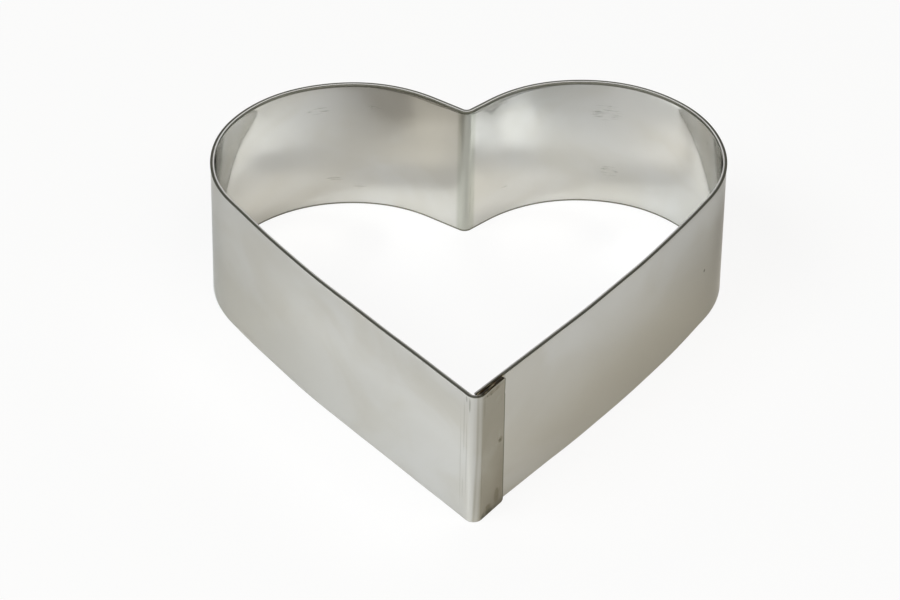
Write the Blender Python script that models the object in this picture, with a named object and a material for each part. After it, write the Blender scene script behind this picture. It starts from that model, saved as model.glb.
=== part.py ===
"""Heart-shaped cake ring: one strip of steel sheet bent into a heart and spot-welded where its ends lap.

Metres, +Z up. The outline is set out from the tip corner, the sharp point where the outer faces of the two
side walls would meet, with +Y towards the cleft. The model then stands on z = 0, centred on its outer box.
"""

from math import acos, atan2, ceil, cos, hypot, pi, radians, sin, sqrt

import bmesh
import bpy
import numpy as np
from mathutils import Matrix, Vector

# Driving dimensions of the heart, taken on the outer face of the wall.
WIDTH = 0.156
HEIGHT = 0.045
SHEET = 0.001
LENGTH = 0.1632  # tip corner to the top of the right lobe
LOBE_DROP = 0.0024  # how much nearer to the tip the top of the left lobe is
LEFT_STRAIGHT = 0.057  # tip corner to the end of the left wall's straight run
RIGHT_STRAIGHT = 0.047
LOBE_RADIUS = 0.0425
BOW_RADIUS = 0.540  # the slight belly between a straight run and its lobe
LEFT_CLEFT_ANGLE = radians(54)  # between the left run into the cleft and the Y axis
RIGHT_CLEFT_ANGLE = radians(47)
TIP_BEND = 0.0018  # inside radius of the fold at the tip
CLEFT_BEND = 0.0018  # inside radius of the fold at the cleft

# Edges of the sheet.
RIM_ROUND = 0.0003
FOOT_ROUND = 0.00015
RIM_FLARE = 0.0003  # how far the rim leans out
FLARE_DEPTH = 0.0022  # the height over which it does so

# The lap at the tip: the left end wraps round it as a flap outside the right wall.
LAP_LENGTH = 0.0135  # tip corner to the flap's free edge
LAP_GAP = 0.0008  # between flap and wall at the tip corner
FLAP_CORNER = 0.0011
CLEARANCE = 0.0003  # between pieces that touch on the real ring

# Spot welds between the two layers of the lap.
WELD_DIAMETER = 0.003
WELD_SETBACK = 0.0026  # free edge to the line of the welds
WELD_FOOT_MARGIN = 0.006
WELD_RIM_MARGIN = 0.0063
WELD_SINK = 0.0004  # how deep a weld goes into each layer
WELD_BEVEL = 0.0001

# How finely curves are divided.
ARC_STEP = radians(5)
FOLD_STEP = radians(13)
BOW_STEP = radians(1.5)
EDGE_STEPS = 3
FLARE_STEPS = 3
CORNER_STEPS = 5
WELD_SIDES = 32


def clear_scene():
    for obj in list(bpy.data.objects):
        bpy.data.objects.remove(obj)


def metal(name, colour, roughness):
    """A plain metal."""
    material = bpy.data.materials.new(name)
    material.use_nodes = True
    shader = material.node_tree.nodes["Principled BSDF"]
    shader.inputs["Base Color"].default_value = (*colour, 1)
    shader.inputs["Roughness"].default_value = roughness
    shader.inputs["Metallic"].default_value = 1
    return material


def arc(centre, radius, start, end, step, hollow=False):
    """Points on an arc, and the wall's outward direction there: from its centre, or to it on a hollow bend."""
    count = max(2, ceil(abs(end - start) / step))
    angles = np.linspace(start, end, count + 1)
    rays = np.column_stack([np.cos(angles), np.sin(angles)])
    return centre + radius * rays, -rays if hollow else rays


def direction(angle):
    return np.array([cos(angle), sin(angle)])


def lobe_centre(length):
    """Centre of the right lobe, which touches the overall width and length."""
    return np.array([WIDTH / 2 - LOBE_RADIUS, length - LOBE_RADIUS])


def wall_heading(length, straight):
    """Angle of the right wall's straight run from +X, such that its bow ends tangent to the lobe.

    The bow's centre is known by its distances to the tip corner and to the lobe's centre.
    """
    lobe = lobe_centre(length)
    to_bow = hypot(straight, BOW_RADIUS)
    to_lobe = hypot(*lobe)
    between = BOW_RADIUS - LOBE_RADIUS
    spread = acos((to_bow**2 + to_lobe**2 - between**2) / (2 * to_bow * to_lobe))
    return atan2(lobe[1], lobe[0]) + spread - atan2(BOW_RADIUS, straight)


# Angles from +X: up along each side wall from the tip corner, and out of its outer face.
RIGHT_UP = wall_heading(LENGTH, RIGHT_STRAIGHT)
RIGHT_OUT = RIGHT_UP - pi / 2
LEFT_UP = pi - wall_heading(LENGTH - LOBE_DROP, LEFT_STRAIGHT)
LEFT_OUT = LEFT_UP - 3 * pi / 2
FLAP_LEAN = atan2(LAP_GAP - CLEARANCE, LAP_LENGTH)  # the flap closes on the wall towards its free edge


def half_outline(length, straight, cleft_angle):
    """Outer face of the right half, from the end of its straight run to its run into the cleft."""
    lobe = lobe_centre(length)
    up = wall_heading(length, straight)
    bow = straight * direction(up) - BOW_RADIUS * direction(up - pi / 2)
    meeting = atan2(*(lobe - bow)[::-1])
    side = arc(bow, BOW_RADIUS, up - pi / 2, meeting, BOW_STEP)
    top = arc(lobe, LOBE_RADIUS, meeting, pi - cleft_angle, ARC_STEP)
    return [np.vstack([first, second[1:]]) for first, second in zip(side, top)]


def cleft_fold(left, right):
    """The bend at the cleft. It rounds the point where the outer faces of the two runs would cross."""
    left_out, right_out = direction(LEFT_CLEFT_ANGLE), direction(pi - RIGHT_CLEFT_ANGLE)
    # The bend's axis is one radius out from both faces.
    reach = [left @ left_out + CLEFT_BEND, right @ right_out + CLEFT_BEND]
    centre = np.linalg.solve([left_out, right_out], reach)
    return arc(centre, CLEFT_BEND, LEFT_CLEFT_ANGLE - pi, -RIGHT_CLEFT_ANGLE, FOLD_STEP, hollow=True)


def tip_fold():
    """The bend at the tip, its centre, and the flap's outer face from its free edge to the bend."""
    flap_up = direction(RIGHT_UP + FLAP_LEAN)
    flap_out = direction(RIGHT_OUT + FLAP_LEAN)
    left_up = direction(LEFT_UP)
    half = (LEFT_UP - RIGHT_UP - FLAP_LEAN) / 2
    radius = TIP_BEND + SHEET
    free_edge = LAP_LENGTH * direction(RIGHT_UP) + (CLEARANCE + SHEET) * direction(RIGHT_OUT)
    # The outer faces of the flap and of the left wall cross at this corner.
    corner = left_up * (free_edge @ flap_out) / (left_up @ flap_out)
    centre = corner + radius / sin(half) * direction(LEFT_UP - half)
    bend = arc(centre, radius, RIGHT_OUT + FLAP_LEAN, LEFT_OUT, FOLD_STEP)
    turns = np.linspace(pi / 2, 0, CORNER_STEPS + 1)
    edge = free_edge - np.outer(FLAP_CORNER * (1 - np.sin(turns)), flap_up)
    cut = FLAP_CORNER * (1 - np.cos(turns))
    return bend, centre, (edge, np.tile(flap_out, (len(edge), 1))), cut


def wall_end(centre):
    """Where the right wall stops, clear of the inside of the tip bend and of the left wall."""
    slack = max(0, (TIP_BEND - CLEARANCE) ** 2 - (centre @ direction(RIGHT_OUT)) ** 2)
    clear_of_bend = centre @ direction(RIGHT_UP) - sqrt(slack)
    apex = LEFT_UP - RIGHT_UP
    clear_of_wall = (SHEET * (1 + cos(apex)) + CLEARANCE) / sin(apex)
    return max(clear_of_bend, clear_of_wall) * direction(RIGHT_UP)


def stations():
    """Points along the strip's outer face, the outward direction, and how much the flap's corners cut it."""
    bend, centre, flap, cut = tip_fold()
    left = half_outline(LENGTH - LOBE_DROP, LEFT_STRAIGHT, LEFT_CLEFT_ANGLE)
    left = [values * [-1, 1] for values in left]
    right = [values[::-1] for values in half_outline(LENGTH, RIGHT_STRAIGHT, RIGHT_CLEFT_ANGLE)]
    fold = cleft_fold(left[0][-1], right[0][0])
    end = (wall_end(centre)[None], direction(RIGHT_OUT)[None])
    points, outward = (np.vstack(group) for group in zip(flap, bend, left, fold, right, end))
    return points, outward, np.pad(cut, (0, len(points) - len(cut)))


def section(low, high):
    """Offset and height of the points round the strip: up its outer face, over the rim and down inside."""
    quarter = np.linspace(0, pi / 2, EDGE_STEPS + 1)
    rise = np.linspace(high - FLARE_DEPTH, high - RIM_ROUND, FLARE_STEPS, endpoint=False)
    foot_x, foot_z = FOOT_ROUND * np.sin(quarter), low + FOOT_ROUND * (1 - np.cos(quarter))
    rim_x, rim_z = RIM_ROUND * (1 - np.cos(quarter)), high - RIM_ROUND * (1 - np.sin(quarter))
    outer_x = np.concatenate([foot_x - FOOT_ROUND, 0 * rise, -rim_x])
    outer_z = np.concatenate([foot_z, rise, rim_z])
    offset = np.concatenate([outer_x, (-SHEET - outer_x)[::-1]])
    height = np.concatenate([outer_z, outer_z[::-1]])
    climb = np.clip((height - HEIGHT + FLARE_DEPTH) / FLARE_DEPTH, 0, 1)
    return offset + RIM_FLARE * climb**2, height


def strip_mesh():
    """The strip's section carried along its outline and closed at both ends."""
    grid = []
    for point, outward, cut in zip(*stations()):
        offset, height = section(cut, HEIGHT - cut)
        plan = point + np.outer(offset, outward)
        grid.append(np.column_stack([plan, height]))
    rows, around = len(grid), len(grid[0])
    bm = bmesh.new()
    rings = [[bm.verts.new(corner) for corner in ring] for ring in grid]
    for i in range(rows - 1):
        for j in range(around):
            k = (j + 1) % around
            bm.faces.new([rings[i][j], rings[i][k], rings[i + 1][k], rings[i + 1][j]])
    bm.faces.new(rings[0][::-1])
    bm.faces.new(rings[-1])
    mesh = bpy.data.meshes.new("heart_band")
    bm.to_mesh(mesh)
    bm.free()
    return mesh


def disc_mesh(name, diameter, thickness):
    """A round disc on its own centre, lying in its X-Y plane."""
    bm = bmesh.new()
    radius = diameter / 2
    bmesh.ops.create_cone(
        bm, cap_ends=True, segments=WELD_SIDES, radius1=radius, radius2=radius, depth=thickness
    )
    mesh = bpy.data.meshes.new(name)
    bm.to_mesh(mesh)
    bm.free()
    return mesh


def add(name, mesh, datum, place=None, material=None):
    obj = bpy.data.objects.new(name, mesh)
    bpy.context.scene.collection.objects.link(obj)
    obj.parent = datum
    if place is not None:
        obj.matrix_local = place
    if material is not None:
        mesh.materials.append(material)
        mesh.shade_smooth()
        mesh.set_sharp_from_angle(angle=radians(35))
    return obj


def weld_place(z):
    """The middle of the lap's gap at this height, with Z across the gap, and the gap there."""
    along = LAP_LENGTH - WELD_SETBACK
    gap = LAP_GAP + (CLEARANCE - LAP_GAP) * along / LAP_LENGTH
    plan = along * direction(RIGHT_UP) + gap / 2 * direction(RIGHT_OUT)
    across = direction(RIGHT_OUT + FLAP_LEAN / 2)
    turn = Vector((*across, 0)).to_track_quat("Z", "Y").to_matrix().to_4x4()
    return Matrix.Translation((*plan, z)) @ turn, gap


def add_weld(name, z, band, datum, material):
    """A weld nugget, and the pocket that it has in the two layers of the lap."""
    place, gap = weld_place(z)
    bore = gap + 2 * WELD_SINK
    pocket = disc_mesh("pocket", WELD_DIAMETER + 2 * CLEARANCE, bore)
    cutter = add("pocket_of_" + name, pocket, datum, place)
    cutter.hide_render = True
    cutter.display_type = "WIRE"
    cut = band.modifiers.new("Pocket", "BOOLEAN")
    cut.operation = "DIFFERENCE"
    cut.object = cutter
    nugget = add(name, disc_mesh(name, WELD_DIAMETER, bore - 2 * CLEARANCE), datum, place, material)
    bevel = nugget.modifiers.new("Edge", "BEVEL")
    bevel.width = WELD_BEVEL
    bevel.segments = 2


def main():
    clear_scene()
    ring_steel = metal("ring_steel", (0.62, 0.61, 0.58), 0.22)
    weld_steel = metal("weld_steel", (0.46, 0.40, 0.33), 0.45)
    mesh = strip_mesh()
    corners = np.array([vertex.co for vertex in mesh.vertices])
    middle = (corners.min(axis=0) + corners.max(axis=0)) / 2
    datum = bpy.data.objects.new("tip_corner", None)
    bpy.context.scene.collection.objects.link(datum)
    datum.location = (-middle[0], -middle[1], 0)
    band = add("heart_band", mesh, datum, material=ring_steel)
    lower, upper = WELD_FOOT_MARGIN, HEIGHT - WELD_RIM_MARGIN
    heights = {"lower": lower, "middle": (lower + upper) / 2, "upper": upper}
    for place, z in heights.items():
        add_weld("spot_weld_" + place, z, band, datum, weld_steel)


main()
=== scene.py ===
"""Looks of a heart-shaped cake ring: satin steel strip, heat-marked lap and plain pale studio."""

from collections import namedtuple
from functools import reduce

import bpy
import numpy as np
from bpy.props import FloatProperty, FloatVectorProperty, PointerProperty
from mathutils import Matrix, Vector


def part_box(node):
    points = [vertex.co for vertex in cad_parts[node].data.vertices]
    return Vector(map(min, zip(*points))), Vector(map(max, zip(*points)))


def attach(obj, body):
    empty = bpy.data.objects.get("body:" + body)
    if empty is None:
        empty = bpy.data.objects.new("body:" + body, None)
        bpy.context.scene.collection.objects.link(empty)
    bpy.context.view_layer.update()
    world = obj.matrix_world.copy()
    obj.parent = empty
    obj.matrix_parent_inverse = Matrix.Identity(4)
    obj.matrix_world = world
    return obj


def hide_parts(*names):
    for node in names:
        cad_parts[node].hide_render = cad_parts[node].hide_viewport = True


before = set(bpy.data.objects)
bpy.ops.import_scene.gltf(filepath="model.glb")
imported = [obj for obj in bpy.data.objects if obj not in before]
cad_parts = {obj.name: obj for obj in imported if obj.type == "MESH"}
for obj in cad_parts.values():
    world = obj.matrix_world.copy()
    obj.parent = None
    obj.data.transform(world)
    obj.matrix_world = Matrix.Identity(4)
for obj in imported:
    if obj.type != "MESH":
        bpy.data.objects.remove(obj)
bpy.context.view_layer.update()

bl_info = {
    "name": "Heart cake ring",
    "version": (1, 0, 0),
    "blender": (4, 5, 0),
    "location": "3D View > Sidebar > Cake ring",
    "description": "Builds the fine surface, steel finishes and studio of a heart-shaped cake ring",
    "category": "Object",
}

BAND_LOW, BAND_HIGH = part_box("heart_band")
WELD_NODES = ("spot_weld_lower", "spot_weld_middle", "spot_weld_upper")
IMAGE_WIDTH = 900  # pixels
SENSOR = 36.0  # mm

FACE_ROWS = 22  # rows of points from foot to rim, before those added round the weld marks
MARK_ROWS, MARK_REACH = 13, 0.0017  # rows round each weld mark, and half the height that they take
PIT_ROWS, PIT_REACH = 9, 0.0006  # closer rows round the middle of the middle mark
LEAN_ROWS = 9  # rows over the height where the rim leans out
CORNER_STEPS = 6  # faces round each rounded edge
SHARP_ANGLE = np.radians(50)  # between two faces that meet in a hard edge
# Stations round the flap's free edge, and from the weld marks to the bend
EDGE_STATIONS, FLAP_STATIONS = 6, 18
# Spacing of the stations in metres: side walls, lobes, runs into the cleft, folds and marks, and
# the end of the lap
WALL_STEP, LOBE_STEP, CLEFT_STEP, FOLD_STEP, LAP_STEP = 0.003, 0.0013, 0.002, 0.0002, 0.0004
LAP_MARGIN = 1.3  # the end's closer stations start at this many lap lengths from the tip
END_CLEARANCE = 0.0003  # from the strip's hidden end to the inside of the tip bend, in metres
HAIR = 0.0001  # keeps a step from falling between two stations, in metres
# Shares of the sheet's thickness that count as its outer and inner face
OUTER_PART, INNER_PART = 0.3, 0.7
BURIED = 0.55, 0.9  # shares over which the soot of the flap's inner face comes in
# Slow waves of the walls: wavelength in metres, phase, and how far the crest leans from foot to rim
WAVES = ((0.083, 0.8, 0.6), (0.047, 2.1, -0.9), (0.029, 0.3, 1.7))
# Distances from the tip bend and from the strip's end over which the waves grow, in metres
WAVE_START, WAVE_END = 0.025, (0.012, 0.04)
# Pressed dishes, as shares of the radius: end of the floor, and place and width of the rim
DISH_FLOOR, DISH_RIM, DISH_RIM_WIDTH = 0.7, 1.12, 0.15
DISH_RIM_RISE = 0.3  # share of the depth
CREASE_PLACE = 4  # half widths past the start of the tip bend
CREASE_FADE = 0.75, 1  # shares of the height
NICK_RUN = 6  # how many times its depth the nick reaches along the flap
TILT_START = 3  # how many times the rim's rounding the tilt reaches down

# Rubbed places of the inner face and scuffs that run upright. Each has its middle and its reach,
# both given along the strip from the flap's free edge and up from the foot, in metres
RUBS = (
    ((0.2130, 0.0360), (0.0045, 0.0016)),
    ((0.2320, 0.0370), (0.0035, 0.0012)),
    ((0.2180, 0.0095), (0.0040, 0.0012)),
    ((0.2260, 0.0067), (0.0030, 0.0010)),
    ((0.3125, 0.0340), (0.0060, 0.0034)),
    ((0.3140, 0.0120), (0.0034, 0.0024)),
    ((0.2785, 0.0098), (0.0014, 0.0014)),
)
SCUFFS = (
    ((0.2590, 0.0380), (0.0012, 0.0060)),
    ((0.2644, 0.0150), (0.0016, 0.0120)),
    ((0.0180, 0.0220), (0.0022, 0.0240)),
)

# Upright lines that the press left on the outer face beside the tip bend, given in the same way
PRESS_LINES = (
    ((0.0112, 0.0130), (0.00030, 0.0210)),
    ((0.0163, 0.0230), (0.00025, 0.0160)),
    ((0.0175, 0.0330), (0.00030, 0.0110)),
    ((0.0190, 0.0200), (0.00020, 0.0190)),
    ((0.0102, 0.0405), (0.00040, 0.0050)),
)
# Scratches at the top of the tip bend, given in the same way
SCRATCHES = (((0.0152, 0.0418), (0.0003, 0.0030)), ((0.0165, 0.0434), (0.0003, 0.0013)))
# The line along the bend leans by this much in each metre below this height
PRESS_LEAN, PRESS_KNEE = 0.034, 0.025
# Painted shade of the crease line: strength, place past the start of the bend, and half width
PRESS_SHADE, PRESS_PLACE, PRESS_WIDTH = 0.28, 0.0019, 0.00028
# The flap's tint falls in two steps: how much of it goes, and over what reach past the start of
# the bend
TINT_STEPS = ((0.58, -0.0001, 0.0013), (0.42, 0.002, 0.0026))
# Tint round the inner weld marks, its radius, and where the soot fades near the flap's free edge
HALO_TINT, HALO_RADIUS, SOOT_FADE = 0.6, 0.0035, (-0.001, 0.0015)
# Small dark specks, dimples and nicks of the outer face, given in the same way. The spot at the
# pit beside the middle weld mark is painted shade
SPECKS = (
    ((0.3953, 0.0193), (0.0006, 0.0007)),
    ((0.0090, 0.0434), (0.00035, 0.0004)),
    ((0.0070, 0.0429), (0.0003, 0.0004)),
    ((0.0020, 0.0236), (0.0005, 0.0005)),
)
# Brown stains of the flap, the first of them round the pit, given in the same way
STAINS = (
    ((0.0021, 0.0238), (0.0013, 0.0012)),
    ((0.0036, 0.0045), (0.0016, 0.0034)),
    ((0.0080, 0.0022), (0.0026, 0.0018)),
    ((0.0058, 0.0436), (0.0060, 0.0009)),
)

# Where the finishes come in, in metres. One whose first value is the larger fades as the place
# moves on.
CUT_EDGE = 0.00003, 0.0001  # distance from either face of the sheet
FOLD_SPREAD = 0.0032, 0.0016  # distance from the middle of the cleft fold
# Painted highlight: a brighter band along the tip bend
SHINE_START, SHINE_END = (0.0026, 0.0036), (0.0002, -0.001)  # past the tip bend's start and end
FLAP_REACH = 0.001, -0.0005  # past the start of the tip bend
# Painted shade: a dark line along the flap's free edge
FLAP_EDGE = 0.0006, 0.0003  # along the strip
# The flap turns browner and darker towards its foot, near its free edge
LOW_BROWN_ALONG, LOW_BROWN_UP = (0.009, 0), (0.03, 0.006)  # along and up the strip
# Painted shade: the outer face darkens towards its foot, most on the right side
FOOT_SHADE_UP, FOOT_SHADE_LEFT = (0.045, 0.008), (0.05, 0.12)  # up and along the strip
FOOT_SHADE_RIGHT = 0.02, -0.08  # past the strip's end
RIGHT_SIDE = 0.30, 0.36  # along the strip
# Painted shade: a dark line along the foot, reaching higher on the inner face
FOOT_INSIDE, FOOT_LINE = (0.0007, 0.0005), (0.0003, 0.0001)  # up the strip
# The flap darkens towards its foot, in blotches
FLAP_FOOT_DARK = 0.0026, 0.0007  # up the strip
# Painted shade: dark lines on the outer part of the rim's top and on the inner face below it
CROWN, UNDER_RIM = (-0.00015, -0.00005), (-0.0013, -0.001)  # past the rim's height
# Shares of the sheet's thickness: inner half, outer part of the rim, face below the rim
INNER_HALF, RIM_OUTER, RIM_INNER = (0.45, 0.55), (0.66, 0.56), (0.93, 0.97)

# How strongly each mark, and each painted shade, shows
STRENGTH = {
    "clouds": 0.7,
    "scuffs": 0.6,
    "rubs": 0.3,
    "press lines": 0.2,
    "scratches": 0.4,
    "low flap brown": 0.35,
    "stains": 0.55,
    "dark flap foot": 0.95,
    "lines": 0.85,
    "rim": 0.85,
    "under rim": 0.8,
    "sooty crown": 0.8,
}
# Least and most of what varies over the surface: the brown tint, stains and the darkening at the
# flap's foot by their clouds, and the painted shade near the outer foot from the left side to
# the right one
BROWN_RANGE, STAIN_RANGE, FLAP_FOOT_RANGE, FOOT_SHADE_RANGE = (0.8, 1.0), (0.3, 1.0), (0.4, 1.0), (0.5, 0.95)
WELD_ROUGHNESS = 0.3, 0.6

Pattern = namedtuple("Pattern", "cells detail twist low high")
# Noise patterns: cells in a metre along each axis, detail, twist, and the levels between which
# they rise
CLOUDS = Pattern((26, 26, 40), 3.0, 0.6, 0.35, 0.65)
SMUDGES = Pattern((120, 120, 70), 4.0, 0.4, 0.5, 0.72)
BLOTCHES = Pattern((420, 420, 260), 4.0, 0.3, 0.4, 0.62)
WELD_CRUST = Pattern((900, 900, 900), 4.0, 0.0, 0.4, 0.65)
# These follow the strip: along it and up it
STREAKS = Pattern((14, 420, 0), 3.0, 0.0, 0.42, 0.7)
SCUFF_LINES = Pattern((1500, 60, 0), 2.0, 0.2, 0.55, 0.75)
RUB_LINES = Pattern((140, 2600, 0), 1.0, 0.0, 0.55, 0.63)
GRAIN_CELLS, GRAIN_DETAIL = (60, 7000, 0), 3.0
# These follow the cut edge: along the strip and through the sheet
CRUST = Pattern((300, 4200, 0), 3.0, 0.3, 0.55, 0.66)
STRAW = Pattern((240, 5200, 0), 2.0, 0.2, 0.57, 0.66)

PATCH_CORE = 0.6  # share of its reach up to which a patch is full
MIX_SOCKETS, MIX_RESULT = (0, 6, 7), 2  # a colour mix's share and its two colours, and its result
FLOOR_SIZE, FLOOR_ROUGHNESS = 8.0, 0.9  # the size in metres
# The back panel is full up to the first of these shares of its spread, and gone from the second
PANEL_SHARES = 0.6, 1.4

# Stations of the strip: their points and outward directions in plan, their distances along it, how
# far its ends are cut at the corners and tapered, both ends of the tip bend, and the cleft's middle
Strip = namedtuple("Strip", "points outward along corner_cut taper bend fold")


def length(name, description, default):
    return FloatProperty(
        name=name, description=description, default=default, min=0, subtype="DISTANCE"
    )


def angle(name, description, default):
    return FloatProperty(
        name=name, description=description, default=np.radians(default), subtype="ANGLE"
    )


def colour(name, description, default):
    return FloatVectorProperty(
        name=name, description=description, default=default, min=0, max=1, size=3, subtype="COLOR"
    )


def factor(name, description, default):
    return FloatProperty(
        name=name, description=description, default=default, min=0, max=1, subtype="FACTOR"
    )


def watts(name, description, default):
    return FloatProperty(
        name=name, description=description, default=default, min=0, subtype="POWER"
    )


class HeartRingSizes(bpy.types.PropertyGroup):
    """Sizes of the strip, taken on its outer face."""

    width: length("Width", "Across the two lobes", 0.156)
    reach: length("Length", "Tip corner to the top of the right lobe", 0.1632)
    height: length("Height", "Foot to rim", BAND_HIGH.z - BAND_LOW.z)
    sheet: length("Sheet", "Thickness of the steel", 0.001)
    lobe_drop: length("Lobe drop", "How much shorter the left lobe is", 0.0024)
    left_straight: length("Left straight", "Straight run of the left wall", 0.057)
    right_straight: length("Right straight", "Straight run of the right wall", 0.047)
    lobe_radius: length("Lobe radius", "Radius of both lobes", 0.0425)
    bow_radius: length("Bow radius", "Slight belly between straight run and lobe", 0.540)
    left_cleft: angle(
        "Left cleft angle", "Between the left run into the cleft and the centre line", 54
    )
    right_cleft: angle(
        "Right cleft angle", "Between the right run into the cleft and the centre line", 47
    )
    tip_bend: length("Tip bend", "Inside radius of the fold at the tip", 0.0018)
    cleft_bend: length("Cleft bend", "Inside radius of the fold at the cleft", 0.0018)
    rim_round: length("Rim rounding", "Radius of the rim's edges", 0.0001)
    foot_round: length("Foot rounding", "Radius of the foot's edges", 0.00015)
    rim_flare: length("Rim flare", "How far the rim leans out", 0.00015)
    flare_depth: length("Flare depth", "Height over which the rim leans out", 0.0022)
    rim_tilt: angle("Rim tilt", "How far the rim's flat edge tips outwards", 4)
    lap_length: length("Lap length", "Tip corner to the flap's free edge", 0.0141)
    lap_gap: length("Lap gap", "Gap of the lap at the tip corner", 0.0008)
    lap_close: length("Lap closing", "Gap of the lap at the flap's free edge", 0.00006)
    flap_corner: length("Flap corner", "Radius of the flap's free corners", 0.0011)
    edge_round: length("Edge rounding", "Radius of the edges at the strip's ends", 0.00015)
    weld_setback: length("Weld setback", "Free edge to the line of the welds", 0.0030)


class HeartRingWear(bpy.types.PropertyGroup):
    """Small departures from a perfect strip, left by rolling, bending and welding."""

    waviness: length("Waviness", "How far the walls stray from true", 0.00007)
    ridge: length("Bend ridge", "Step that the bending tool left beside the tip", 0.00005)
    mark_radius: length("Weld mark radius", "Radius of the electrode marks", 0.0014)
    mark_depth: length("Weld mark depth", "Depth of the electrode marks", 0.00005)
    pit_radius: length("Pit radius", "Radius of the pit beside the middle mark", 0.0012)
    pit_depth: length("Pit depth", "Depth of the pit beside the middle mark", 0.00012)
    pit_shift: length("Pit shift", "Pit to the middle of the mark, towards the free edge", 0.0012)
    pit_rise: length("Pit rise", "How far the pit lies above the middle of the mark", 0.0016)
    nick: length("Nick", "Depth of the nick in the flap's free edge", 0.0003)
    nick_height: length("Nick height", "Foot to the nick", 0.0396)
    nick_width: length("Nick width", "Half of the nick's width", 0.0005)
    crease: length("Crease", "Height of the press line where the flap starts to bend", 0.00001)
    crease_width: length("Crease width", "Half of the press line's width", 0.0003)
    crease_top: length("Crease top", "Foot to the top of the press line", 0.031)
    burr: length("Burr", "How far the cut edge stands in from the inner face", 0.0003)
    burr_depth: length("Burr depth", "Height over which the burr grows", 0.0006)


class HeartRingFinish(bpy.types.PropertyGroup):
    """Colours and roughness of the steel."""

    steel: colour("Steel", "Reflection of clean steel", (0.645, 0.647, 0.64))
    # Painted shade: the outer face near its foot, darkened where it mirrors the shadowed floor
    dull_steel: colour(
        "Dull steel",
        "Reflection of the outer face near its foot, dulled by use",
        (0.525, 0.508, 0.46),
    )
    warm_steel: colour("Warm steel", "Reflection of the faintly warm patches", (0.58, 0.568, 0.53))
    edge_steel: colour("Edge steel", "Reflection of the cut edges", (0.80, 0.79, 0.76))
    # Darker steel round the inside of the cleft fold
    fold_steel: colour(
        "Fold steel", "Reflection of the worked steel of the cleft fold", (0.49, 0.495, 0.455)
    )
    # Painted highlight: brighter steel along the tip bend
    bend_highlight: colour(
        "Bend steel", "Reflection of the tip bend, polished by the tool", (0.68, 0.68, 0.662)
    )
    # Also the colour of the painted shade along the crease
    heat_tint_and_shade: colour("Heat tint", "Reflection of the flap, browned by welding", (0.362, 0.342, 0.289))
    # Also the colour of painted shade at the foot, the rim, the flap's free edge and the pit
    grime_and_shade: colour(
        "Grime", "Reflection of the thin dark lines along the foot and the rim", (0.12, 0.12, 0.085)
    )
    burnt: colour("Burnt", "Inside of the lap", (0.03, 0.022, 0.014))
    stained: colour("Stained", "Reflection of the brown stains on the flap", (0.17, 0.14, 0.085))
    scorched: colour("Scorched", "Rusty streaks inside the lap", (0.20, 0.11, 0.045))
    straw: colour("Straw", "Straw-coloured flecks on the flap's rim", (0.60, 0.54, 0.38))
    grazing: colour(
        "Grazing tint",
        "Reflection at a grazing angle, as a share of an ideal metal's",
        (0.8, 0.8, 0.79),
    )
    roughness: factor("Roughness", "Blur of the reflections in the walls", 0.08)
    smudge_roughness: factor("Smudge roughness", "Blur that handling marks add", 0.05)
    rub_roughness: factor("Rub roughness", "Blur that the rub marks add", 0.22)
    edge_roughness: factor("Edge roughness", "Blur that the cut edges add", 0.08)
    tint_roughness: factor("Tint roughness", "Blur that the heat tint adds", 0.12)
    burnt_roughness: factor("Burnt roughness", "Blur that the burnt steel adds", 0.4)
    grain_depth: length("Grain depth", "Depth of the rolling lines", 0.0000012)
    rub_depth: length("Rub depth", "Depth of the rub marks", 0.000004)


class HeartRingStudio(bpy.types.PropertyGroup):
    """Camera and light. The camera looks at a point on the floor, given from the tip corner."""

    focal: FloatProperty(
        name="Focal length", description="In pixels of a frame 900 pixels wide", default=4443.3
    )
    distance: length("Distance", "Camera to the point that it looks at", 1.3602)
    elevation: angle("Elevation", "How steeply the camera looks down", 36.12)
    azimuth: angle("Azimuth", "Turn of the camera about the vertical", -0.714)
    roll: angle("Roll", "Turn of the camera about its own axis", 0.80)
    aim_x: FloatProperty(
        name="Aim X", description="Right of the tip corner", default=-0.005249, unit="LENGTH"
    )
    aim_y: FloatProperty(
        name="Aim Y", description="Behind the tip corner", default=0.108384, unit="LENGTH"
    )
    floor: colour("Floor", "Colour of the floor", (0.93, 0.93, 0.92))
    floor_glow: factor("Floor glow", "How far the floor is lifted to white for the camera", 0.88)
    mirror_glow: factor(
        "Mirrored glow", "How far the floor is lifted to white in reflections", 0.06
    )
    room: colour("Room", "Dim light from all round", (0.054, 0.051, 0.045))
    panel: factor(
        "Back panel", "Brightness of the soft panel behind the ring, mirrored by the rim", 1.0
    )
    panel_height: angle(
        "Back panel height", "Height of the panel over the floor, as the ring sees it", 22
    )
    panel_spread: angle("Back panel spread", "From the middle of the panel to its edge", 14)
    light_distance: length("Light distance", "Soft boxes to the ring", 2.2)
    left_power: watts("Left light", "Power of the soft box on the left", 28.4)
    left_colour: colour("Left light colour", "Colour of the left soft box", (0.955, 0.985, 1.0))
    left_azimuth: angle(
        "Left bearing", "Bearing of the left soft box, from the right, anticlockwise", 208.8
    )
    left_elevation: angle("Left height", "Height of the left soft box over the floor", 49.5)
    left_width: length("Left width", "Width of the left soft box", 1.68)
    left_depth: length("Left depth", "Other side of the left soft box", 0.98)
    right_power: watts("Right light", "Power of the soft box on the right", 21.3)
    right_colour: colour("Right light colour", "Colour of the right soft box", (1.0, 0.955, 0.86))
    right_azimuth: angle(
        "Right bearing", "Bearing of the right soft box, from the right, anticlockwise", 310.8
    )
    right_elevation: angle("Right height", "Height of the right soft box over the floor", 56.8)
    right_width: length("Right width", "Width of the right soft box", 1.64)
    right_depth: length("Right depth", "Other side of the right soft box", 1.30)


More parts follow.
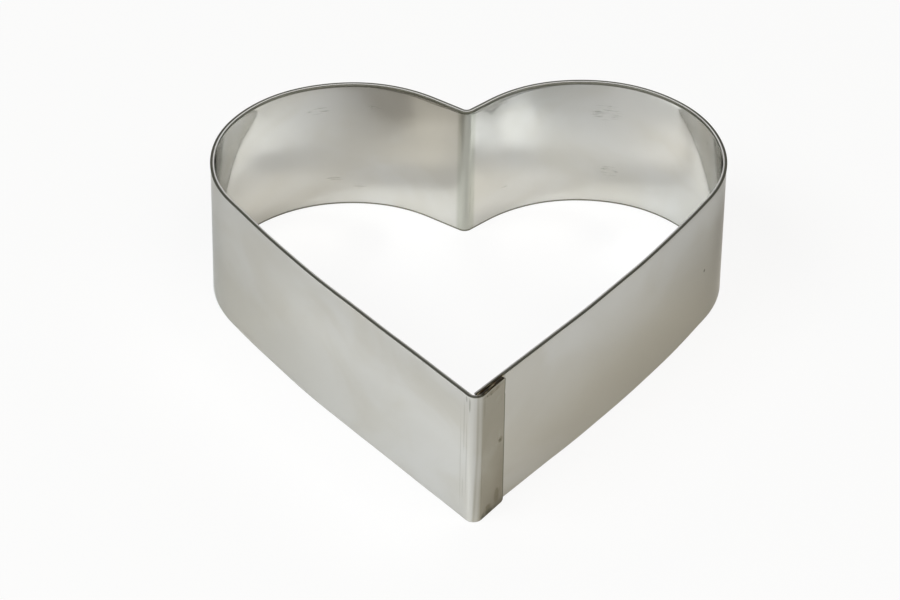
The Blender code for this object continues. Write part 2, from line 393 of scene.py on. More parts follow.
def ray(turn):
    """Direction at an angle in plan: its cosine and sine."""
    return np.array([np.cos(turn), np.sin(turn)])


def arc(centre, radius, start, end, step, hollow=False):
    """Points centre + radius * (cos, sin) at even angles, and the outward direction at each."""
    count = max(2, int(np.ceil(abs(end - start) * max(radius, 1e-6) / step)))
    turns = np.linspace(start, end, count + 1)
    rays = np.column_stack([np.cos(turns), np.sin(turns)])
    return centre + radius * rays, -rays if hollow else rays


def run(start, end, outward, step):
    """Points start + t * (end - start) along a straight run, without its ends.

    All of them have the same outward direction.
    """
    count = max(2, int(np.ceil(np.linalg.norm(end - start) / step)))
    t = np.linspace(0, 1, count + 1)[1:-1, None]
    return start + t * (end - start), np.tile(outward, (count - 1, 1))


def wall_heading(s, reach, straight):
    """Angle of a side wall, and the lobe's centre.

    The angle comes from the cosine rule in the triangle of tip corner, bow centre and lobe centre.
    """
    lobe = np.array([s.width / 2 - s.lobe_radius, reach - s.lobe_radius])
    to_bow, to_lobe = np.hypot(straight, s.bow_radius), np.hypot(*lobe)
    apart = s.bow_radius - s.lobe_radius
    spread = np.arccos((to_bow**2 + to_lobe**2 - apart**2) / (2 * to_bow * to_lobe))
    return np.arctan2(lobe[1], lobe[0]) + spread - np.arctan2(s.bow_radius, straight), lobe


def half_outline(s, reach, straight, cleft):
    """Right half: an arc of the bow radius, then one of the lobe radius, tangent to each other."""
    up, lobe = wall_heading(s, reach, straight)
    bow = straight * ray(up) - s.bow_radius * ray(up - np.pi / 2)
    meeting = np.arctan2(*(lobe - bow)[::-1])
    side = arc(bow, s.bow_radius, up - np.pi / 2, meeting, WALL_STEP)
    top = arc(lobe, s.lobe_radius, meeting, np.pi - cleft, LOBE_STEP)
    return [np.vstack([first, second[1:]]) for first, second in zip(side, top)]


def cleft_fold(s, left, right):
    """An arc whose centre is one bend radius off the outer faces of both runs into the cleft."""
    left_out, right_out = ray(s.left_cleft), ray(np.pi - s.right_cleft)
    reach = [left @ left_out + s.cleft_bend, right @ right_out + s.cleft_bend]
    centre = np.linalg.solve([left_out, right_out], reach)
    return arc(centre, s.cleft_bend, s.left_cleft - np.pi, -s.right_cleft, FOLD_STEP, hollow=True)


def smooth(low, high, x):
    """Smoothstep: 3t squared less 2t cubed, where t is the share of the way from low to high."""
    t = np.clip((x - low) / (high - low), 0, 1)
    return t * t * (3 - 2 * t)


def rounded(distance, radius):
    """How far a quarter circle falls short at d from its end: r - sqrt(r^2 - (r - d)^2)."""
    short = np.clip(radius - distance, 0, radius)
    return radius - np.sqrt(radius**2 - short**2)


def flap_stations(s, reach):
    """Distances from the free edge: close together at the edge and the weld marks, then even."""
    quarter = 1 - np.cos(np.linspace(0, np.pi / 2, EDGE_STATIONS))
    edge = np.concatenate([s.edge_round * quarter, s.flap_corner * quarter[1:]])
    marks = np.arange(s.flap_corner, 2 * s.weld_setback, FOLD_STEP)
    rest = np.linspace(2 * s.weld_setback, reach, FLAP_STATIONS)[:-1]
    return np.unique(np.round(np.concatenate([edge, marks, rest]), 7))


def strip_outline(s):
    """Outer face of the strip in plan, from the flap's free edge round to the other end at the tip.

    The flap leans out from the right wall. The tip bend is part of a circle that is tangent to the
    flap and to the left wall.
    """
    right_up, _ = wall_heading(s, s.reach, s.right_straight)
    left_up = np.pi - wall_heading(s, s.reach - s.lobe_drop, s.left_straight)[0]
    lean = np.arctan2(s.lap_gap - s.lap_close, s.lap_length)
    flap_up, flap_out = ray(right_up + lean), ray(right_up + lean - np.pi / 2)
    half = (left_up - right_up - lean) / 2
    radius = s.tip_bend + s.sheet
    free_edge = s.lap_length * ray(right_up) + (s.lap_close + s.sheet) * ray(right_up - np.pi / 2)
    corner = ray(left_up) * (free_edge @ flap_out) / (ray(left_up) @ flap_out)
    centre = corner + radius / np.sin(half) * ray(left_up - half)
    bend = arc(centre, radius, right_up + lean - np.pi / 2, left_up - 3 * np.pi / 2, FOLD_STEP)
    flap_length = np.linalg.norm(bend[0][0] - free_edge)
    distance = flap_stations(s, flap_length)
    flap = free_edge - np.outer(distance, flap_up), np.tile(flap_out, (len(distance), 1))
    left = half_outline(s, s.reach - s.lobe_drop, s.left_straight, s.left_cleft)
    left = [part * [-1, 1] for part in left]
    right = [part[::-1] for part in half_outline(s, s.reach, s.right_straight, s.right_cleft)]
    fold = cleft_fold(s, left[0][-1], right[0][0])
    slack = max(0, (s.tip_bend - END_CLEARANCE) ** 2 - (centre @ ray(right_up - np.pi / 2)) ** 2)
    end = (centre @ ray(right_up) - np.sqrt(slack)) * ray(right_up)
    behind = LAP_MARGIN * s.lap_length * ray(right_up)
    parts = [
        flap,
        bend,
        run(bend[0][-1], left[0][0], left[1][0], WALL_STEP),
        left,
        run(left[0][-1], fold[0][0], left[1][-1], CLEFT_STEP),
        fold,
        run(fold[0][-1], right[0][0], right[1][0], CLEFT_STEP),
        right,
        run(right[0][-1], behind, right[1][-1], WALL_STEP),
        run(behind, end, right[1][-1], LAP_STEP),
        (end[None], right[1][-1:]),
    ]
    points, outward = (np.vstack(group) for group in zip(*parts))
    along = np.concatenate([[0], np.cumsum(np.linalg.norm(np.diff(points, axis=0), axis=1))])
    from_end = np.minimum(along, along[-1] - along)
    ends = flap_length, flap_length + np.linalg.norm(np.diff(bend[0], axis=0), axis=1).sum()
    middle = along[sum(len(part[0]) for part in parts[:5]) + len(fold[0]) // 2]
    taper = rounded(from_end, s.edge_round)
    return Strip(points, outward, along, rounded(along, s.flap_corner), taper, ends, middle)


def face_rows(s, heights):
    """Shares of the way up a face: even, and closer together at the heights of the weld marks."""
    low, high = s.foot_round, s.height - s.flare_depth
    near = np.linspace(-MARK_REACH, MARK_REACH, MARK_ROWS)
    close = np.linspace(-PIT_REACH, PIT_REACH, PIT_ROWS)
    marks = [height + near for height in heights] + [heights[1] + close]
    share = (np.concatenate(marks) - low) / (high - low)
    return np.unique(np.round(np.concatenate([np.linspace(0, 1, FACE_ROWS), share]), 5))


def section(s, strip, heights):
    """Depth in the sheet and height of the points round the strip, one row for each station.

    Quarter circles at foot and rim, joined by straight faces. The depth is 0 on the outer face.
    """
    quarter = np.linspace(0, np.pi / 2, CORNER_STEPS + 1)
    cut, taper = strip.corner_cut[:, None], strip.taper[:, None]
    low, high = cut, s.height - cut
    rise_low, rise_high = low + s.foot_round, high - s.flare_depth
    plain = rise_low + (rise_high - rise_low) * face_rows(s, heights)
    climb = np.linspace(0, 1, LEAN_ROWS)[1:-1]
    lean = rise_high + (high - s.rim_round - rise_high) * climb
    foot_x = s.foot_round * (1 - np.sin(quarter)) + 0 * low
    foot_z = low + s.foot_round * (1 - np.cos(quarter))
    rim_x = s.rim_round * (1 - np.cos(quarter)) + 0 * low
    rim_z = high - s.rim_round * (1 - np.sin(quarter))
    depth = np.hstack([foot_x, 0 * plain[:, 1:], 0 * lean, rim_x])
    height = np.hstack([foot_z, plain[:, 1:], lean, rim_z])
    depth = taper + depth * (1 - 2 * taper / s.sheet)
    return np.hstack([depth, (s.sheet - depth)[:, ::-1]]), np.hstack([height, height[:, ::-1]])


def wave_shape(s, wear, strip, height):
    """Sum of sines along the strip whose phase shifts with the height. It fades out at the lap."""
    along = strip.along[:, None]
    fade = smooth(strip.bend[1], strip.bend[1] + WAVE_START, along)
    fade = fade * smooth(*WAVE_END, along[-1] - along)
    share = height / s.height
    swing = sum(
        np.sin(2 * np.pi * along / size + phase + lean * share) for size, phase, lean in WAVES
    )
    return wear.waviness * fade * swing / np.sqrt(len(WAVES))


def pressed(distance, radius, depth):
    """A shallow dish: a smoothstep from its floor to its edge, and a low bell-shaped rim."""
    dish = -depth * (1 - smooth(DISH_FLOOR * radius, radius, distance))
    off_rim = (distance - DISH_RIM * radius) / (DISH_RIM_WIDTH * radius)
    return dish + DISH_RIM_RISE * depth * np.exp(-(off_rim**2))


def weld_marks(s, wear, strip, depth, height, heights):
    """Dishes of the electrodes on both sides of the lap, and a pit in the middle one outside."""
    along = strip.along[:, None] + 0 * height
    behind = strip.along[-1] - (s.lap_length - s.weld_setback) + np.linalg.norm(strip.points[-1])
    outer, inner = depth < OUTER_PART * s.sheet, depth > INNER_PART * s.sheet
    relief = 0 * height
    for level in heights:
        front = np.hypot(along - s.weld_setback, height - level)
        back = np.hypot(along - behind, height - level)
        relief += outer * pressed(front, wear.mark_radius, wear.mark_depth)
        relief -= inner * pressed(back, wear.mark_radius, wear.mark_depth)
    pit = np.hypot(along - s.weld_setback + wear.pit_shift, height - heights[1] - wear.pit_rise)
    return relief + outer * pressed(pit, wear.pit_radius, wear.pit_depth)


def press_line(wear, strip, height):
    """A bell-shaped ridge that runs upright where the flap starts to bend, and fades at its top."""
    into = strip.along[:, None] - strip.bend[0]
    across = (into - CREASE_PLACE * wear.crease_width) / wear.crease_width
    fade = 1 - smooth(*CREASE_FADE, height / wear.crease_top)
    return wear.crease * np.exp(-(across**2)) * fade


def nicked(wear, strip, height):
    """How far the flap's free edge is pushed back: a bell over the height.

    It falls evenly to nothing along the flap.
    """
    bell = np.exp(-(((height - wear.nick_height) / wear.nick_width) ** 2))
    return wear.nick * bell * np.clip(1 - strip.along[:, None] / (NICK_RUN * wear.nick), 0, 1)


def burr(s, wear, depth, height):
    """How far the inner face steps in below the rim: a smoothstep over the topmost part."""
    climb = smooth(s.height - wear.burr_depth, s.height - s.rim_round, height)
    return wear.burr * (depth > s.sheet / 2) * climb


def bend_step(wear, strip):
    """Step beside the tip: a smoothstep that grows round the bend and ends sharply just past it."""
    before_end = strip.along < strip.bend[1] + HAIR
    return wear.ridge * (smooth(*strip.bend, strip.along) * before_end)[:, None]


def rim_drop(s, depth, height):
    """How far the tipped rim falls: in proportion to the distance from the inner face.

    A smoothstep over the topmost part joins it to the faces.
    """
    top = smooth(s.height - TILT_START * s.rim_round, s.height - s.rim_round, height)
    return np.tan(s.rim_tilt) * (s.sheet - depth) * top


def grid_mesh(name, points, values):
    """A mesh from a grid of points, closed round the section and capped at both ends.

    The values along and height become its UV map, and the others become attributes.
    """
    rows, around = points.shape[:2]
    index = np.arange(rows * around).reshape(rows, around)
    turn = np.roll(index, -1, axis=1)
    quads = np.stack([index[:-1], turn[:-1], turn[1:], index[1:]], axis=-1).reshape(-1, 4)
    half = around // 2
    side = np.arange(half - 1)
    caps = []
    for ring, flip in ((index[0], True), (index[-1], False)):
        back = ring[::-1]
        quad = np.stack([ring[side], ring[side + 1], back[side + 1], back[side]], axis=-1)
        caps.append(quad[:, ::-1] if flip else quad)
    faces = np.vstack([quads, *caps])
    mesh = bpy.data.meshes.new(name)
    mesh.vertices.add(points.size // 3)
    mesh.vertices.foreach_set("co", points.reshape(-1).astype(np.float32))
    mesh.loops.add(faces.size)
    mesh.loops.foreach_set("vertex_index", faces.reshape(-1).astype(np.int32))
    mesh.polygons.add(len(faces))
    mesh.polygons.foreach_set("loop_start", np.arange(0, faces.size, 4, dtype=np.int32))
    mesh.update(calc_edges=True)
    uv = np.dstack([values.pop("along"), values.pop("height")])
    layer = mesh.uv_layers.new(name="Strip")
    corner_uv = uv.reshape(-1, 2)[faces.reshape(-1)]
    layer.data.foreach_set("uv", corner_uv.reshape(-1).astype(np.float32))
    for key, value in values.items():
        kept = mesh.attributes.new(key, "FLOAT", "POINT")
        kept.data.foreach_set("value", value.reshape(-1).astype(np.float32))
    mesh.shade_smooth()
    mesh.set_sharp_from_angle(angle=SHARP_ANGLE)
    return mesh


class HEARTRING_OT_band(bpy.types.Operator):
    """Make the fine surface of the bent strip"""

    bl_idname = "heart_ring.band"
    bl_label = "Heart band"

    def execute(self, context):
        s, wear = context.scene.heart_ring_sizes, context.scene.heart_ring_wear
        strip = strip_outline(s)
        heights = [(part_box(name)[0].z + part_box(name)[1].z) / 2 for name in WELD_NODES]
        depth, height = section(s, strip, heights)
        climb = np.clip((height - s.height + s.flare_depth) / s.flare_depth, 0, 1)
        outward = s.rim_flare * climb**2 - depth + wave_shape(s, wear, strip, height)
        outward += weld_marks(s, wear, strip, depth, height, heights) + bend_step(wear, strip)
        outward += press_line(wear, strip, height) - burr(s, wear, depth, height)
        forward = strip.outward[:, ::-1] * [1, -1]
        flat = strip.points[:, None] + outward[..., None] * strip.outward[:, None] - plan_middle(s)
        flat = flat + nicked(wear, strip, height)[..., None] * forward[:, None]
        values = {"along": strip.along[:, None] + 0 * height, "height": height, "depth": depth}
        values["browning"], values["soot"] = heat_and_shade_marks(s, strip, depth, height, heights)
        points = np.dstack([flat, height - rim_drop(s, depth, height)])
        mesh = grid_mesh("heart_band_skin", points, values)
        mesh.materials.append(ring_steel(s, context.scene.heart_ring_finish, strip))
        band = bpy.data.objects.new("heart_band_skin", mesh)
        context.scene.collection.objects.link(band)
        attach(band, "root")
        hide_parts("heart_band")
        return {"FINISHED"}


def plan_middle(s):
    """Centre of the strip's outer box in plan, from the tip corner, less the CAD box's centre."""
    strip = strip_outline(s)
    lean = s.rim_flare * (1 - s.rim_round / s.flare_depth) ** 2
    edge = strip.points + lean * strip.outward
    return (edge.min(axis=0) + edge.max(axis=0)) / 2 - np.array((BAND_LOW + BAND_HIGH).xy) / 2


def bend_tint_and_shade(strip, height):
    """How brown the flap and its bend are, plus painted shade: 1 less two smoothsteps, plus a bell.

    The bell is painted shade along the line that the press left. It leans away from the free edge
    in the lower half.
    """
    start = strip.bend[0] + PRESS_LEAN * np.clip(PRESS_KNEE - height, 0, None)
    into = strip.along[:, None] - start
    fall = sum(share * smooth(low, high, into) for share, low, high in TINT_STEPS)
    return 1 - fall + PRESS_SHADE * np.exp(-(((into - PRESS_PLACE) / PRESS_WIDTH) ** 2))


def heat_and_shade_marks(s, strip, depth, height, heights):
    """How much welding has browned each point, and how sooty the inside of the lap is.

    Brown is the flap's own tint with painted shade along the crease, or a bell round each inner
    mark. Soot is a smoothstep over each face of the lap.
    """
    along = strip.along[:, None] + 0 * height
    inner = smooth(OUTER_PART * s.sheet, INNER_PART * s.sheet, depth)
    before_end = along[-1] - along + np.linalg.norm(strip.points[-1])
    flap = bend_tint_and_shade(strip, height)
    aside = before_end - s.lap_length + s.weld_setback
    halo = [np.hypot(aside, height - level) for level in heights]
    ring = np.exp(-((np.min(halo, axis=0) / HALO_RADIUS) ** 2))
    under = 1 - smooth(s.lap_length + SOOT_FADE[0], s.lap_length + SOOT_FADE[1], before_end)
    heat = np.maximum(flap, inner * HALO_TINT * ring)
    buried = smooth(BURIED[0] * s.sheet, BURIED[1] * s.sheet, depth)
    soot = flap * buried + (1 - inner) * under * (along > along[-1] / 2)
    return heat, soot


def node(tree, kind, **values):
    """A new node. Values named after sockets go into the sockets, and the rest are its settings."""
    made = tree.nodes.new("ShaderNode" + kind)
    for name, value in values.items():
        if name in made.inputs:
            made.inputs[name].default_value = value
        else:
            setattr(made, name, value)
    return made


def link(tree, value, socket):
    """Links an output to a socket, or sets the socket if the value is a plain number or colour."""
    if isinstance(value, bpy.types.NodeSocket):
        tree.links.new(value, socket)
    else:
        socket.default_value = value


def math(tree, operation, *values):
    """Output of a new math node on the values."""
    made = node(tree, "Math", operation=operation)
    for value, socket in zip(values, made.inputs):
        link(tree, value, socket)
    return made.outputs[0]


def product(tree, *values):
    """All the values multiplied together."""
    return reduce(lambda total, value: math(tree, "MULTIPLY", total, value), values)


def highest(tree, *values):
    """The highest of the values."""
    return reduce(lambda total, value: math(tree, "MAXIMUM", total, value), values)


def mixed(tree, share, first, second):
    """Colour that goes from the first to the second as the share goes from 0 to 1."""
    made = node(tree, "Mix", data_type="RGBA")
    for value, number in zip((share, first, second), MIX_SOCKETS):
        link(tree, value, made.inputs[number])
    return made.outputs[MIX_RESULT]


def between(tree, low, high, value):
    """Smoothstep from 0 at the low value to 1 at the high one."""
    made = node(tree, "MapRange", interpolation_type="SMOOTHSTEP")
    made.inputs["From Min"].default_value = low
    made.inputs["From Max"].default_value = high
    link(tree, value, made.inputs["Value"])
    return made.outputs["Result"]


def ranged(tree, low, high, share):
    """Value that goes evenly from the low one to the high one as the share goes from 0 to 1."""
    return math(tree, "MULTIPLY_ADD", share, high - low, low)


def noise(tree, place, cells, detail, twist=0.0):
    """Noise with so many cells in each metre along each axis of the place that it reads."""
    stretched = node(tree, "VectorMath", operation="MULTIPLY")
    link(tree, place, stretched.inputs[0])
    stretched.inputs[1].default_value = cells
    made = node(tree, "TexNoise", Scale=1.0, Detail=detail, Distortion=twist)
    link(tree, stretched.outputs[0], made.inputs["Vector"])
    return made.outputs[0]


def pattern(tree, place, kind):
    """Smoothstep of a noise between the pattern's two levels."""
    level = noise(tree, place, kind.cells, kind.detail, kind.twist)
    return between(tree, kind.low, kind.high, level)


def patch(tree, place, centre, reach):
    """1 in the middle of an ellipse of the strip, and 0 from its edge outwards."""
    offset = node(tree, "VectorMath", operation="SUBTRACT")
    link(tree, place, offset.inputs[0])
    offset.inputs[1].default_value = (*centre, 0)
    share = node(tree, "VectorMath", operation="DIVIDE")
    link(tree, offset.outputs[0], share.inputs[0])
    share.inputs[1].default_value = (*reach, 1)
    distance = node(tree, "VectorMath", operation="LENGTH")
    link(tree, share.outputs[0], distance.inputs[0])
    return between(tree, 1.0, PATCH_CORE, distance.outputs["Value"])


def patches(tree, place, marks):
    """The highest of the patches at each point."""
    return highest(tree, *(patch(tree, place, centre, reach) for centre, reach in marks))


def new_material(name):
    """A new material, its node tree and its shader."""
    material = bpy.data.materials.new(name)
    material.use_nodes = True
    return material, material.node_tree, material.node_tree.nodes["Principled BSDF"]


def attribute(tree, name):
    """Value of a mesh attribute."""
    return node(tree, "Attribute", attribute_name=name).outputs["Fac"]


def past(place, reach):
    """Both values of a range, moved on by a place."""
    return place + reach[0], place + reach[1]


def strip_places(tree, s, strip):
    """Where a point lies on the strip, and its share of each region with a finish of its own."""
    at = {name: attribute(tree, name) for name in ("depth", "browning", "soot")}
    at["strip"] = node(tree, "UVMap", uv_map="Strip").outputs["UV"]
    split = node(tree, "SeparateXYZ")
    link(tree, at["strip"], split.inputs[0])
    along, up = split.outputs[0], split.outputs[1]
    cut = node(tree, "CombineXYZ")
    link(tree, along, cut.inputs[0])
    link(tree, at["depth"], cut.inputs[1])
    at["cut"] = cut.outputs[0]
    share = math(tree, "DIVIDE", at["depth"], s.sheet)
    from_face = math(tree, "MINIMUM", at["depth"], math(tree, "SUBTRACT", s.sheet, at["depth"]))
    from_fold = math(tree, "ABSOLUTE", math(tree, "SUBTRACT", along, strip.fold))

    at["edge"] = between(tree, *CUT_EDGE, from_face)
    at["inside"] = between(tree, *INNER_HALF, share)
    at["outside"] = math(tree, "SUBTRACT", 1.0, at["inside"])
    at["fold"] = product(tree, between(tree, *FOLD_SPREAD, from_fold), at["inside"])
    # Painted highlight along the tip bend
    shine = (past(strip.bend[0], SHINE_START), past(strip.bend[1], SHINE_END))
    at["bend"] = product(tree, *(between(tree, *reach, along) for reach in shine), at["outside"])
    at["flap"] = between(tree, *past(strip.bend[0], FLAP_REACH), along)
    # Painted shade along the flap's free edge
    at["flap edge"] = between(tree, *FLAP_EDGE, along)
    at["low flap brown"] = product(tree, between(tree, *LOW_BROWN_ALONG, along), between(tree, *LOW_BROWN_UP, up))
    # Painted shade along the foot
    foot_inside = product(tree, between(tree, *FOOT_INSIDE, up), at["inside"])
    at["foot"] = highest(tree, foot_inside, between(tree, *FOOT_LINE, up))
    at["dark flap foot"] = product(tree, between(tree, *FLAP_FOOT_DARK, up), at["flap"])
    at["crown"] = between(tree, *past(s.height, CROWN), up)
    # Painted shade: dark lines on the rim's outer top and on the inner face just below the rim
    at["rim"] = product(tree, at["crown"], between(tree, *RIM_OUTER, share))
    at["under rim"] = product(
        tree, between(tree, *past(s.height, UNDER_RIM), up), between(tree, *RIM_INNER, share)
    )
    # Painted shade: the outer face darker towards its foot, more so on the right side
    from_tip = between(tree, *FOOT_SHADE_LEFT, along)
    from_end = between(tree, *past(strip.along[-1], FOOT_SHADE_RIGHT), along)
    low = product(tree, between(tree, *FOOT_SHADE_UP, up), at["outside"])
    side = ranged(tree, *FOOT_SHADE_RANGE, between(tree, *RIGHT_SIDE, along))
    at["dull"] = product(tree, low, math(tree, "MINIMUM", from_tip, from_end), side)
    return at


def ring_steel(s, finish, strip):
    """Bright rolled steel: clouded, faintly grained, rubbed, browned and burnt.

    It also carries painted shade at the foot and the rim, and a painted highlight on the bend.
    """
    material, tree, shader = new_material("bright_rolled_steel")
    shader.inputs["Metallic"].default_value = 1
    shader.inputs["Specular Tint"].default_value = (*finish.grazing, 1)
    place = node(tree, "TexCoord").outputs["Object"]
    at = strip_places(tree, s, strip)
    clouds, blotches = pattern(tree, place, CLOUDS), pattern(tree, place, BLOTCHES)
    strip_uv = at["strip"]
    rubs = product(
        tree, patches(tree, strip_uv, RUBS), pattern(tree, strip_uv, RUB_LINES), at["inside"]
    )
    scuffs = product(tree, patches(tree, strip_uv, SCUFFS), pattern(tree, strip_uv, SCUFF_LINES))
    rubs = highest(tree, rubs, product(tree, scuffs, STRENGTH["scuffs"]))
    stains = product(tree, patches(tree, strip_uv, STAINS), ranged(tree, *STAIN_RANGE, blotches))
    dark_flap_foot = product(tree, at["dark flap foot"], ranged(tree, *FLAP_FOOT_RANGE, blotches))
    # Dark specks, and painted shade at the pit
    specks = product(tree, patches(tree, strip_uv, SPECKS), at["outside"])
    # Painted shade along the foot and the flap's free edge, and the dark specks
    lines = highest(tree, at["foot"], specks, at["flap edge"])
    # Painted shade of the rim's two dark lines
    rim = highest(
        tree,
        product(tree, at["rim"], STRENGTH["rim"]),
        product(tree, at["under rim"], STRENGTH["under rim"]),
    )
    # Dark marks, and the painted shade along the foot, the rim and the flap's free edge
    dark = highest(
        tree,
        product(tree, rubs, STRENGTH["rubs"]),
        product(tree, patches(tree, strip_uv, PRESS_LINES), STRENGTH["press lines"]),
        product(tree, patches(tree, strip_uv, SCRATCHES), STRENGTH["scratches"]),
        product(tree, dark_flap_foot, STRENGTH["dark flap foot"]),
        product(tree, lines, STRENGTH["lines"]),
        rim,
    )
    # Heat tint, and painted shade along the crease
    browned = product(tree, at["browning"], ranged(tree, *BROWN_RANGE, clouds))
    sooty_crown = product(tree, at["crown"], at["flap"], STRENGTH["sooty crown"])
    scorched = highest(tree, at["soot"], sooty_crown)

    metal = (*finish.steel, 1)
    for share, layer in (
        (product(tree, clouds, STRENGTH["clouds"]), finish.warm_steel),
        # Painted shade near the outer foot
        (at["dull"], finish.dull_steel),
        (at["fold"], finish.fold_steel),
        # Painted highlight along the tip bend
        (at["bend"], finish.bend_highlight),
        (at["edge"], finish.edge_steel),
        (browned, finish.heat_tint_and_shade),
        (product(tree, at["low flap brown"], STRENGTH["low flap brown"]), finish.stained),
        (product(tree, stains, STRENGTH["stains"]), finish.stained),
        (dark, finish.grime_and_shade),
    ):
        metal = mixed(tree, share, metal, (*layer, 1))
    burnt = mixed(tree, pattern(tree, at["cut"], CRUST), (*finish.burnt, 1), (*finish.scorched, 1))
    burnt = mixed(tree, pattern(tree, at["cut"], STRAW), burnt, (*finish.straw, 1))
    link(tree, mixed(tree, scorched, metal, burnt), shader.inputs["Base Color"])

    blur = finish.roughness
    for share, extra in (
        (pattern(tree, place, SMUDGES), finish.smudge_roughness),
        (pattern(tree, strip_uv, STREAKS), finish.smudge_roughness / 2),
        (rubs, finish.rub_roughness),
        (at["edge"], finish.edge_roughness),
        (rim, finish.burnt_roughness),
        (at["browning"], finish.tint_roughness),
        (at["soot"], finish.burnt_roughness),
    ):
        blur = math(tree, "MULTIPLY_ADD", share, extra, blur)
    link(tree, blur, shader.inputs["Roughness"])

    grain = noise(tree, strip_uv, GRAIN_CELLS, GRAIN_DETAIL)
    relief = math(tree, "MULTIPLY_ADD", rubs, -finish.rub_depth / finish.grain_depth, grain)
    bump = node(tree, "Bump", Strength=1.0, Distance=finish.grain_depth)
    link(tree, relief, bump.inputs["Height"])
    link(tree, bump.outputs[0], shader.inputs["Normal"])
    return material


class HEARTRING_OT_welds(bpy.types.Operator):
    """Give the weld nuggets inside the lap their finish"""

    bl_idname = "heart_ring.welds"
    bl_label = "Spot welds"

    def execute(self, context):
        finish = context.scene.heart_ring_finish
        material, tree, shader = new_material("weld_steel")
        shader.inputs["Metallic"].default_value = 1
        place = node(tree, "TexCoord").outputs["Object"]
        crust = pattern(tree, place, WELD_CRUST)
        metal = mixed(tree, crust, (*finish.heat_tint_and_shade, 1), (*finish.burnt, 1))
        link(tree, metal, shader.inputs["Base Color"])
        link(tree, ranged(tree, *WELD_ROUGHNESS, crust), shader.inputs["Roughness"])
        for name in WELD_NODES:
            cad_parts[name].data.materials.clear()
            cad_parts[name].data.materials.append(material)
        return {"FINISHED"}


class HEARTRING_OT_stage(bpy.types.Operator):
    """Set up the floor, the room light, the soft lights and the camera"""

    bl_idname = "heart_ring.stage"
    bl_label = "Studio"

    def execute(self, context):
        studio = context.scene.heart_ring_studio
        make_floor(studio)
        make_world(context.scene, studio)
        make_lights(studio)
        make_camera(context.scene, studio, plan_middle(context.scene.heart_ring_sizes))
        # What the walls mirror twice stays as sharp as what they mirror once
        context.scene.cycles.blur_glossy = 0
        context.scene.view_settings.view_transform = "Standard"
        return {"FINISHED"}


def make_floor(studio):
    """A matt plane, lifted towards white where the camera sees it and a little in reflections."""
    bpy.ops.mesh.primitive_plane_add(size=FLOOR_SIZE)
    floor = bpy.context.object
    floor.name = "floor"
    material, tree, shader = new_material("pale_floor")
    shader.inputs["Base Color"].default_value = (*studio.floor, 1)
    shader.inputs["Roughness"].default_value = FLOOR_ROUGHNESS
    shader.inputs["Specular IOR Level"].default_value = 0
    glow = node(tree, "Emission", Strength=1.0)
    mix = node(tree, "MixShader")
    path = node(tree, "LightPath")
    seen = math(tree, "MULTIPLY", path.outputs["Is Camera Ray"], studio.floor_glow)
    mirrored = math(tree, "MULTIPLY", path.outputs["Is Glossy Ray"], studio.mirror_glow)
    link(tree, math(tree, "ADD", seen, mirrored), mix.inputs[0])
    link(tree, shader.outputs[0], mix.inputs[1])
    link(tree, glow.outputs[0], mix.inputs[2])
    link(tree, mix.outputs[0], tree.nodes["Material Output"].inputs["Surface"])
    floor.data.materials.append(material)


def make_world(scene, studio):
    """A dim room with a soft panel behind the ring, and plain white where the camera sees it."""
    world = bpy.data.worlds.new("studio")
    scene.world = world
    world.use_nodes = True
    tree = world.node_tree
    backdrop = node(tree, "Background", Color=(1, 1, 1, 1), Strength=1.0)
    facing = node(tree, "VectorMath", operation="DOT_PRODUCT")
    link(tree, node(tree, "TexCoord").outputs["Generated"], facing.inputs[0])
    facing.inputs[1].default_value = (0, np.cos(studio.panel_height), np.sin(studio.panel_height))
    full, gone = (np.cos(share * studio.panel_spread) for share in PANEL_SHARES)
    share = between(tree, gone, full, facing.outputs["Value"])
    room = tree.nodes["Background"]
    lit = mixed(tree, share, (*studio.room, 1), (*[studio.panel] * 3, 1))
    link(tree, lit, room.inputs["Color"])
    mix = node(tree, "MixShader")
    link(tree, node(tree, "LightPath").outputs["Is Camera Ray"], mix.inputs[0])
    link(tree, room.outputs[0], mix.inputs[1])
    link(tree, backdrop.outputs[0], mix.inputs[2])
    link(tree, mix.outputs[0], tree.nodes["World Output"].inputs["Surface"])


def make_lights(studio):
    """Two soft boxes, on the left and before the ring on the right, both facing it."""
    for name in ("left", "right"):
        light = bpy.data.lights.new(name + "_soft_box", "AREA")
        light.shape = "RECTANGLE"
        light.energy = getattr(studio, name + "_power")
        light.color = getattr(studio, name + "_colour")
        light.size = getattr(studio, name + "_width")
        light.size_y = getattr(studio, name + "_depth")
        level = ray(getattr(studio, name + "_azimuth"))
        across, up = ray(getattr(studio, name + "_elevation"))
        lamp = bpy.data.objects.new(name + "_soft_box", light)
        lamp.location = studio.light_distance * Vector((*across * level, up))
        lamp.rotation_euler = (-lamp.location).to_track_quat("-Z", "Y").to_euler()
        bpy.context.scene.collection.objects.link(lamp)


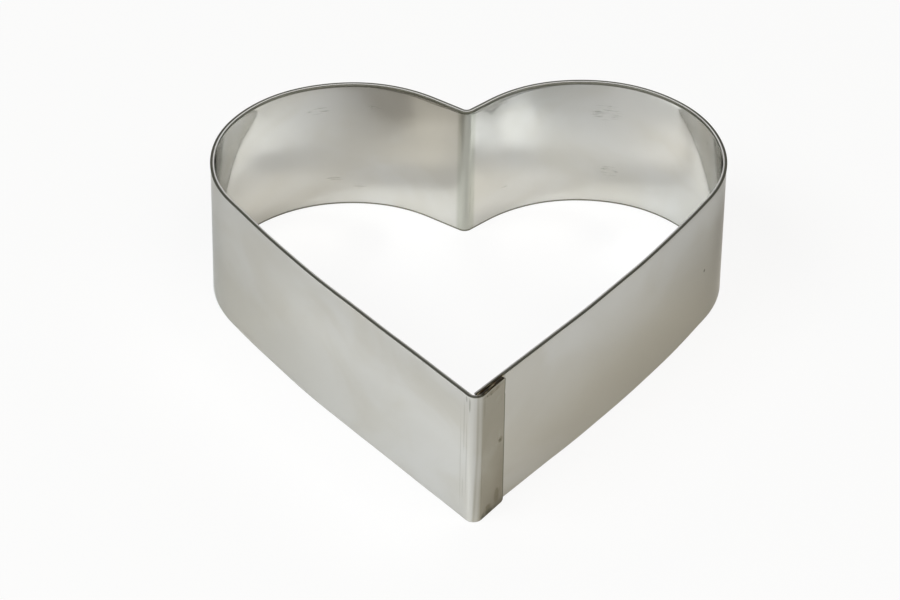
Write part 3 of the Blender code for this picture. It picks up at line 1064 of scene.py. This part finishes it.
def make_camera(scene, studio, middle):
    """The camera looks down at the aim point, turned about the vertical and then rolled."""
    spin = Matrix.Rotation(studio.azimuth, 3, "Z")
    ahead = spin @ Vector((0, np.cos(studio.elevation), -np.sin(studio.elevation)))
    right = spin @ Vector((1, 0, 0))
    above = right.cross(ahead)
    across = np.cos(studio.roll) * right + np.sin(studio.roll) * above
    upright = -np.sin(studio.roll) * right + np.cos(studio.roll) * above
    turn = Matrix((across, upright, -ahead)).transposed().to_4x4()
    aim = Vector((studio.aim_x - middle[0], studio.aim_y - middle[1], 0))
    data = bpy.data.cameras.new("camera")
    data.sensor_width = SENSOR
    data.lens = studio.focal / IMAGE_WIDTH * SENSOR
    camera = bpy.data.objects.new("camera", data)
    camera.matrix_world = Matrix.Translation(aim - studio.distance * ahead) @ turn
    scene.collection.objects.link(camera)
    scene.camera = camera


class HEARTRING_PT_panel(bpy.types.Panel):
    """Sizes, finishes and steps of the cake ring"""

    bl_idname = "HEARTRING_PT_panel"
    bl_label = "Heart cake ring"
    bl_space_type = "VIEW_3D"
    bl_region_type = "UI"
    bl_category = "Cake ring"

    def draw(self, context):
        for step in STEPS:
            self.layout.operator(step.bl_idname)
        for name in GROUPS:
            group = getattr(context.scene, name)
            box = self.layout.box()
            for entry in group.__annotations__:
                box.prop(group, entry)


STEPS = (HEARTRING_OT_band, HEARTRING_OT_welds, HEARTRING_OT_stage)
GROUPS = {
    "heart_ring_sizes": HeartRingSizes,
    "heart_ring_wear": HeartRingWear,
    "heart_ring_finish": HeartRingFinish,
    "heart_ring_studio": HeartRingStudio,
}


def register():
    for cls in (*GROUPS.values(), *STEPS, HEARTRING_PT_panel):
        bpy.utils.register_class(cls)
    for name, cls in GROUPS.items():
        setattr(bpy.types.Scene, name, PointerProperty(type=cls))


def unregister():
    for name in GROUPS:
        delattr(bpy.types.Scene, name)
    for cls in (HEARTRING_PT_panel, *reversed(STEPS), *reversed(GROUPS.values())):
        bpy.utils.unregister_class(cls)


def main():
    register()
    bpy.ops.heart_ring.band()
    bpy.ops.heart_ring.welds()
    bpy.ops.heart_ring.stage()
    bpy.context.view_layer.update()


if __name__ == "__main__":
    main()
